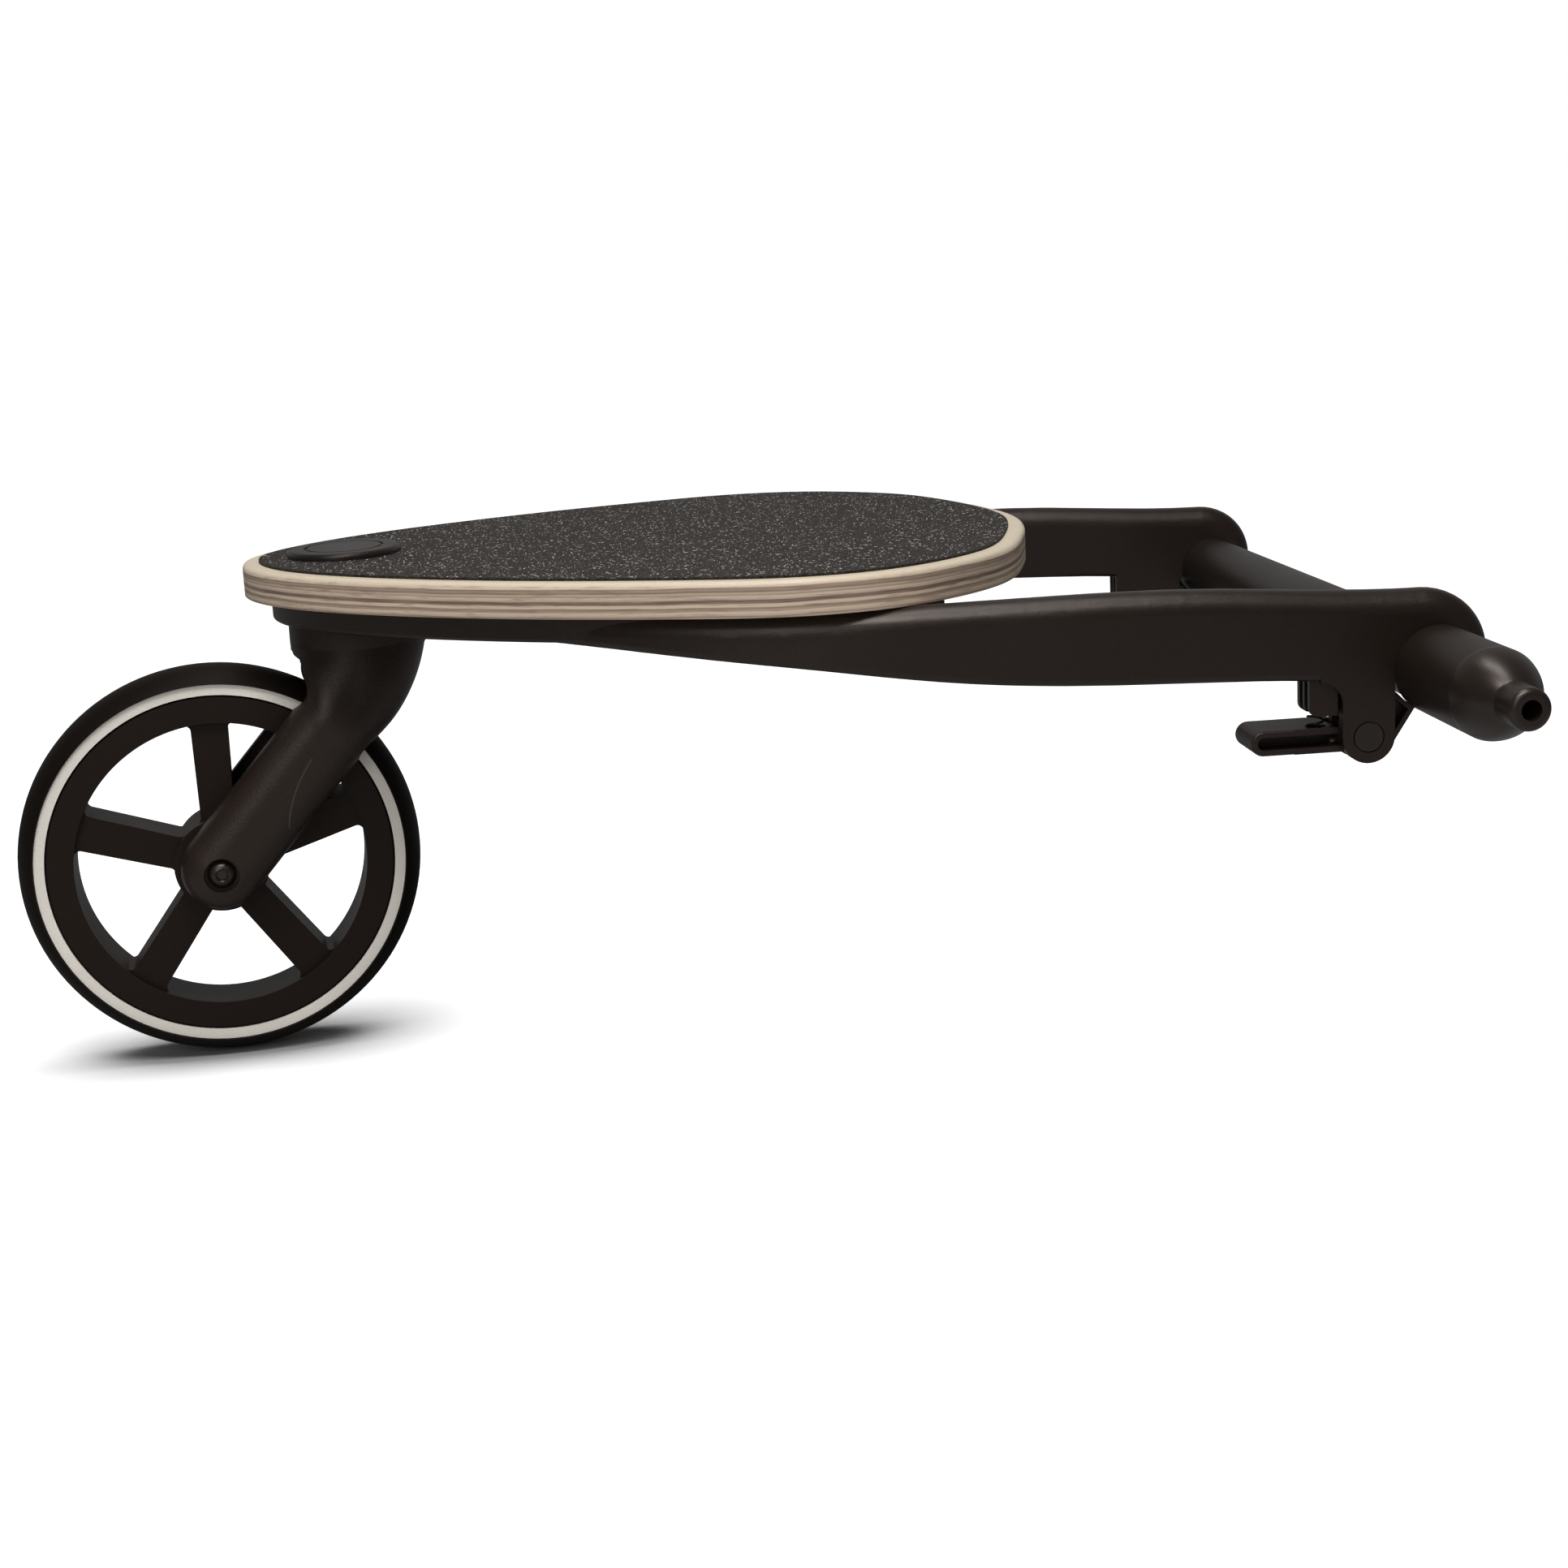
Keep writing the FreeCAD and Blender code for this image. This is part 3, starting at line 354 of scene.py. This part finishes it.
def plywood():
    finish = start_finish("plywood")
    edge, fibre = sawn_edge(finish)
    grain = noise(finish, scale=1.0, detail=5.0, rough=0.65, stretch=face_stretch)
    veneer = mix(finish, spread(finish, grain, low=0.0, high=0.6), face_pale, face_tan)
    give(finish, "Base Color", mix(finish, flat_face(finish), edge, veneer))
    give(finish, "Roughness", spread(finish, grain, low=0.38, high=0.52))
    bump(finish, fibre, depth=0.0001, strength=0.4)
    return finish


put_on(plywood(), "deck_board")

# %% [markdown]
# ## Grip tape
# The deck's top is covered with abrasive tape: black resin with grit, and some grains face the light and
# sparkle. Real grains would be millions of faces, so Voronoi cells stand for them: each cell is one grain with
# its own tone and gloss, and the distance from the cell's middle raises it as a bump. A few cells are painted
# pale: a painted sparkle that stands in for the glint of grains facing the lamps. The tape's cut edge is bare
# resin, so the painted sparkle is kept to the flat face.

# %% Grip tape
tape_grain_scale = 1500.0
resin_dark, resin_light = (0.0040, 0.0033, 0.0028), (0.040, 0.0345, 0.0305)
painted_sparkle_colour = (0.90, 0.86, 0.81)


def grip_tape():
    finish = start_finish("grip_tape")
    grains = add(finish, "ShaderNodeTexVoronoi")
    feed(finish, tape_grain_scale, grains.inputs["Scale"])
    feed(finish, place(finish), grains.inputs["Vector"])
    pick = grains.outputs["Color"]
    # A few cells are painted pale: a painted sparkle, a glint that shows whatever the lamps do.
    bright = spread(finish, axis(finish, "X", pick), low=0.0, high=1.0, start=0.975, end=0.995)
    painted_sparkle = maths(finish, "MULTIPLY", bright, flat_face(finish))
    resin = mix(finish, axis(finish, "Z", pick), resin_dark, resin_light)
    give(finish, "Base Color", mix(finish, painted_sparkle, resin, painted_sparkle_colour))
    give(finish, "Roughness", spread(finish, axis(finish, "Y", pick), low=0.55, high=0.9, start=0.0, end=1.0))
    give(finish, "Specular IOR Level", 0.3)
    give(finish, "Specular Tint", warm_painted_gloss)
    bump(finish, grains.outputs["Distance"], depth=0.0004, strength=0.8)
    return finish


put_on(grip_tape(), "grip_tape")

# %% [markdown]
# ## Places for the grit
# The biggest grains stand proud of the tape, and they are what sparkles when it is seen from low down. A bump
# stays flat at that angle, so these grains are real. Their places are drawn at random on the tape's upper
# triangles, large triangles more often than small ones, a little inside the edge and clear of the badge. A
# seed keeps them the same in every run.

# %% Places for the grit
grit_count, grit_seed = 11000, 7
grit_small, grit_large = 0.00012, 0.00026
grit_reach, badge_margin, least_up = 0.99, 1.02, 0.9
dice = random.Random(grit_seed)
badge_low, badge_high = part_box("badge")
tape_low, tape_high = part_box("grip_tape")


def tape_top_triangles():
    mesh = nodes["grip_tape"].data
    mesh.calc_loop_triangles()
    faces = [face for face in mesh.loop_triangles if face.normal.z > least_up]
    corners = [[mesh.vertices[index].co.copy() for index in face.vertices] for face in faces]
    return corners, [face.area for face in faces]


def clear_of_badge(spot):
    across = []
    for i in (0, 1):
        low, high = badge_low[i], badge_high[i]
        across.append((2 * spot[i] - low - high) / (high - low))
    return math.hypot(*across) > badge_margin


def inside_edge(spot):
    for i in (0, 1):
        middle = (tape_low[i] + tape_high[i]) / 2
        spot[i] = middle + (spot[i] - middle) * grit_reach
    return spot


def grit_places():
    triangles, areas = tape_top_triangles()
    for first, second, third in dice.choices(triangles, areas, k=grit_count):
        a, b = sorted((dice.random(), dice.random()))
        spot = inside_edge(first * a + second * (b - a) + third * (1.0 - b))
        if clear_of_badge(spot):
            yield spot


print("grains asked for:", grit_count)

# %% [markdown]
# ## Loose grit
# A grain is a small eight-sided crystal, turned its own way and sunk halfway into the tape. Thousands of
# objects would be slow, and so would adding them one by one, so one mesh holds them all. A value on each
# grain says how bright it is: most are dull, and a few are painted pale, a painted glint for the grains that
# sparkle; their lower roughness is real gloss.

# %% Loose grit
grain_dark, grain_dull, painted_glint_pale = (0.012, 0.0105, 0.0095), (0.10, 0.092, 0.085), (0.88, 0.85, 0.81)
crystal = [Vector(p) for p in ((1, 0, 0), (-1, 0, 0), (0, 1, 0), (0, -1, 0), (0, 0, 1), (0, 0, -1))]
crystal_faces = [(0, 2, 4), (2, 1, 4), (1, 3, 4), (3, 0, 4), (2, 0, 5), (1, 2, 5), (3, 1, 5), (0, 3, 5)]


def scatter_grit():
    points, faces, bright = [], [], []
    for spot in grit_places():
        turn = Euler([dice.uniform(0.0, math.tau) for _ in range(3)]).to_matrix()
        size = dice.uniform(grit_small, grit_large)
        faces += [tuple(len(points) + corner for corner in face) for face in crystal_faces]
        points += [spot + turn @ corner * size for corner in crystal]
        bright += [dice.random()] * len(crystal)
    mesh = bpy.data.meshes.new("grip_grit")
    mesh.from_pydata(points, [], faces)
    mesh.attributes.new("grain", "FLOAT", "POINT").data.foreach_set("value", bright)
    grit = bpy.data.objects.new("grip_grit", mesh)
    bpy.context.collection.objects.link(grit)
    return grit


def grit_finish():
    finish = start_finish("grit")
    grain = add(finish, "ShaderNodeAttribute", attribute_name="grain").outputs["Fac"]
    dull = mix(finish, grain, grain_dark, grain_dull)
    # A few grains are painted pale: a painted glint that shows whether a lamp catches them or not.
    painted_glint_share = spread(finish, grain, low=0.0, high=1.0, start=0.70, end=0.92)
    give(finish, "Base Color", mix(finish, painted_glint_share, dull, painted_glint_pale))
    give(finish, "Roughness", spread(finish, grain, low=0.55, high=0.25, start=0.0, end=1.0))
    return finish


grit = scatter_grit()
grit.data.materials.append(grit_finish())
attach(grit, "board")
print("grains:", len(grit.data.polygons) // len(crystal_faces))

# %% [markdown]
# ## Metals
# Screws, pins, washers and bearings are plated, blackened or ground steel, and the deck's inserts are brass.
# A metal's colour is its reflection, so roughness matters most: fine brushing streaks it, and slow dull
# patches show handling. One helper takes the colour and the gloss.

# %% Metals
brush_stretch, dulled_share = (1800.0, 200.0, 1800.0), 0.6


def metal(name, colour, gloss, metallic=1.0):
    finish = start_finish(name)
    brushed = noise(finish, scale=1.0, detail=3.0, stretch=brush_stretch)
    handled = spread(finish, noise(finish, scale=60.0, detail=3.0), low=0.0, high=0.6)
    dulled = tuple(dulled_share * part for part in colour)
    give(finish, "Metallic", metallic)
    give(finish, "Base Color", mix(finish, handled, colour, dulled))
    give(finish, "Roughness", spread(finish, brushed, *gloss))
    bump(finish, brushed, depth=0.00002, strength=0.4)
    return finish


plated_steel = metal("plated_steel", (0.55, 0.55, 0.53), gloss=(0.25, 0.42))
blackened_steel = metal("blackened_steel", (0.065, 0.056, 0.050), gloss=(0.26, 0.38), metallic=0.85)
insert_brass = metal("insert_brass", (0.62, 0.43, 0.17), gloss=(0.25, 0.40))
bearing_steel = metal("bearing_steel", (0.62, 0.62, 0.62), gloss=(0.12, 0.25))
put_on(plated_steel, "plug_pins", "deck_screws", "kingpin", "kingpin_washer", "axle_sleeve", "axle_washers")
put_on(blackened_steel, "kingpin_clip", "axle_bolt", "axle_nut")
put_on(insert_brass, "deck_inserts")
put_on(bearing_steel, "bearing_inner_rings", "bearing_outer_rings", "bearing_balls")

# %% [markdown]
# ## Winding a spring
# A small coil spring pushes each latch lever down, and squeezing the handle presses it together. The CAD coil
# is rigid, so the lever would cut into it. The scene winds its own spring: a circle of wire, and a Screw
# modifier that turns it up the coil. Modelling it turn by turn would give the same shape with more work.

# %% Winding a spring
spring_wire, spring_coil, spring_turns = 0.0008, 0.0026, 8
wire_sides, turn_steps, smooth_angle = 10, 24, math.radians(50.0)
spring_black = metal("spring_black", (0.020, 0.017, 0.015), gloss=(0.40, 0.50), metallic=0.6)


def wind_spring(name, low, high):
    bpy.ops.object.select_all(action="DESELECT")
    bpy.ops.mesh.primitive_circle_add(vertices=wire_sides, radius=spring_wire / 2,
                                      location=(spring_coil, 0.0, 0.0), rotation=(math.pi / 2, 0.0, 0.0))
    spring = bpy.context.object
    spring.name = name
    bpy.ops.object.transform_apply(location=True, rotation=True)
    wind = spring.modifiers.new("wind", "SCREW")
    wind.screw_offset = (high[2] - low[2] - spring_wire) / spring_turns
    wind.iterations = spring_turns
    wind.steps = wind.render_steps = turn_steps
    bpy.ops.object.modifier_apply(modifier="wind")
    return spring


def close_ends(spring):
    bpy.ops.object.mode_set(mode="EDIT")
    bpy.ops.mesh.select_all(action="SELECT")
    bpy.ops.mesh.fill_holes(sides=0)
    bpy.ops.mesh.select_all(action="SELECT")
    bpy.ops.mesh.normals_make_consistent(inside=False)
    bpy.ops.object.mode_set(mode="OBJECT")
    bpy.ops.object.shade_smooth_by_angle(angle=smooth_angle)
    spring.data.materials.append(spring_black)


print("spring of", spring_turns, "turns")

# %% [markdown]
# ## Fitting the springs
# Each spring stands where its CAD coil is, between the lever and the box above it, and stands for that coil.
# The share of its height that it would keep at the lever's limit is worked out and printed.

# %% Fitting the springs
spring_travel = 0.0035


def fit_spring(side):
    node = "lever_spring_" + side
    low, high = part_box(node)
    middle = ((low[0] + high[0]) / 2, (low[1] + high[1]) / 2)
    spring = wind_spring("coil_" + side, low, high)
    close_ends(spring)
    spring.location = (middle[0], middle[1], low[2] + spring_wire / 2)
    bpy.ops.object.transform_apply(location=True)
    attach(spring, "board")
    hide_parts(node)
    keep = 1.0 - spring_travel / (high[2] - low[2])
    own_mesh(spring)
    print(spring.name, "faces", len(spring.data.polygons), "keeps", round(keep, 3))


for side in ("left", "right"):
    fit_spring(side)

# %% [markdown]
# ## Camera
# The photo was taken low and almost square to the side. The camera's place, its direction, a roll of about
# three degrees and its lens were solved from the wheel, the deck, the arms and the bar. A camera could be aimed
# with a constraint, but three angles and a matrix keep the roll exact.

# %% Camera
camera_place = (-0.28374, -0.92794, 0.14310)
swing, dip, roll = 0.0819, 0.2112, -0.0507
photo_pixels, focal_pixels = 1932.0, 3000.0


def photo_camera():
    ahead = Vector((math.sin(swing) * math.cos(dip), math.cos(swing) * math.cos(dip), -math.sin(dip)))
    right = Vector((math.cos(swing), -math.sin(swing), 0.0))
    up = right.cross(ahead)
    rolled_right = right * math.cos(roll) + up * math.sin(roll)
    rolled_up = up * math.cos(roll) - right * math.sin(roll)
    turn = Matrix((rolled_right, rolled_up, -ahead)).transposed().to_4x4()
    bpy.ops.object.camera_add()
    camera = bpy.context.object
    camera.matrix_world = Matrix.Translation(camera_place) @ turn
    camera.data.sensor_width = 36.0
    camera.data.lens = camera.data.sensor_width * focal_pixels / photo_pixels
    camera.data.clip_start = 0.01
    camera.data.dof.use_dof = False
    bpy.context.scene.camera = camera
    return camera


print("camera at", tuple(round(part, 4) for part in photo_camera().location))

# %% [markdown]
# ## Floor
# The board stands on a plain pale floor. To the camera the floor glows white, as paper does that runs up a
# studio wall, except close under whatever stands on it. An Ambient Occlusion node measures how much of the sky
# above a point is covered nearby, and there the glow fades to the lit grey floor: a painted contact shadow,
# with the real shadow showing in it. It stays under the wheel wherever a joint takes it. Other light paths
# see an ordinary grey floor.

# %% Floor
floor_size, floor_gap = 12.0, 0.0005
paper_grey, white = (0.43, 0.43, 0.43), (1.0, 1.0, 1.0)
shadow_reach = 0.05


def glow_outside_painted_shadow(finish):
    cover = add(finish, "ShaderNodeAmbientOcclusion", samples=24)
    feed(finish, shadow_reach, cover.inputs["Distance"])
    return spread(finish, cover.outputs["AO"], low=0.0, high=1.0, start=0.55, end=0.97)


def seen_directly(owner):
    path = add(owner, "ShaderNodeLightPath")
    return maths(owner, "MAXIMUM", path.outputs["Is Camera Ray"], path.outputs["Is Transmission Ray"])


def lay_floor():
    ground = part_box("tyre")[0][2] - floor_gap
    bpy.ops.object.select_all(action="DESELECT")
    bpy.ops.mesh.primitive_plane_add(size=floor_size, location=(0.0, 0.0, ground))
    floor = bpy.context.object
    floor.name = "floor"
    bpy.ops.object.transform_apply(location=True)
    paper = start_finish("floor_paper")
    # Where the sky is covered nearby the glow fades: a painted contact shadow on top of the real one.
    glow = maths(paper, "MULTIPLY", seen_directly(paper), glow_outside_painted_shadow(paper))
    give(paper, "Base Color", paper_grey)
    give(paper, "Roughness", 0.9)
    give(paper, "Specular IOR Level", 0.0)
    give(paper, "Emission Color", white)
    give(paper, "Emission Strength", glow)
    floor.data.materials.append(paper)
    return ground


print("floor at z =", round(lay_floor(), 5))

# %% [markdown]
# ## Background
# The world is white to the camera and gives the pieces only a low, even light. Glossy surfaces also see a
# dim wall behind the object, which draws the soft light line along the far edges of bar and arms. With a
# fully white one the blacks turn grey. A real wall would stand in the way of views from behind.


# %% Background
def hang_background(even_light=0.12, wall_light=0.32):
    studio = bpy.data.worlds.new("studio")
    bpy.context.scene.world = studio
    studio.use_nodes = True
    back = studio.node_tree.nodes["Background"]
    feed(studio, white, back.inputs["Color"])
    direction = add(studio, "ShaderNodeTexCoord").outputs["Generated"]
    wall = spread(studio, axis(studio, "Y", direction), low=0.0, high=wall_light, start=0.1, end=0.9)
    wall.node.interpolation_type = "SMOOTHSTEP"
    glossy = add(studio, "ShaderNodeLightPath").outputs["Is Glossy Ray"]
    mirrored = maths(studio, "MULTIPLY", glossy, wall)
    lit = maths(studio, "MAXIMUM", seen_directly(studio), mirrored)
    feed(studio, maths(studio, "MAXIMUM", lit, even_light), back.inputs["Strength"])
    print("world light", even_light, "wall", wall_light)


hang_background()

# %% [markdown]
# ## Lamps
# Product photos use soft boxes, so three area lamps do the work. A wide one hangs high on the camera's side: it
# draws the bright band along the arms' rounded tops. A second one right above the board lights the far
# shoulders and the end plugs, and a weak one beside the camera keeps the near faces readable.

# %% Lamps
board_middle = Vector((-0.25, 0.0, 0.0))


def soft_box(name, spot, width, height, power):
    bpy.ops.object.light_add(type="AREA", location=spot)
    lamp = bpy.context.object
    lamp.name = name
    lamp.data.shape = "RECTANGLE"
    lamp.data.size, lamp.data.size_y = width, height
    lamp.data.energy = power
    lamp.rotation_euler = (board_middle - Vector(spot)).to_track_quat("-Z", "Y").to_euler()
    print(name, power, "W at", spot)


soft_box("key_box", (-0.38, -0.75, 1.20), width=0.9, height=0.45, power=12.5)
soft_box("top_box", (-0.15, 0.05, 1.35), width=0.9, height=0.35, power=6.0)
soft_box("front_box", (-0.8, -1.6, 0.7), width=0.8, height=0.8, power=4.2)
bpy.context.scene.view_settings.view_transform = "Standard"
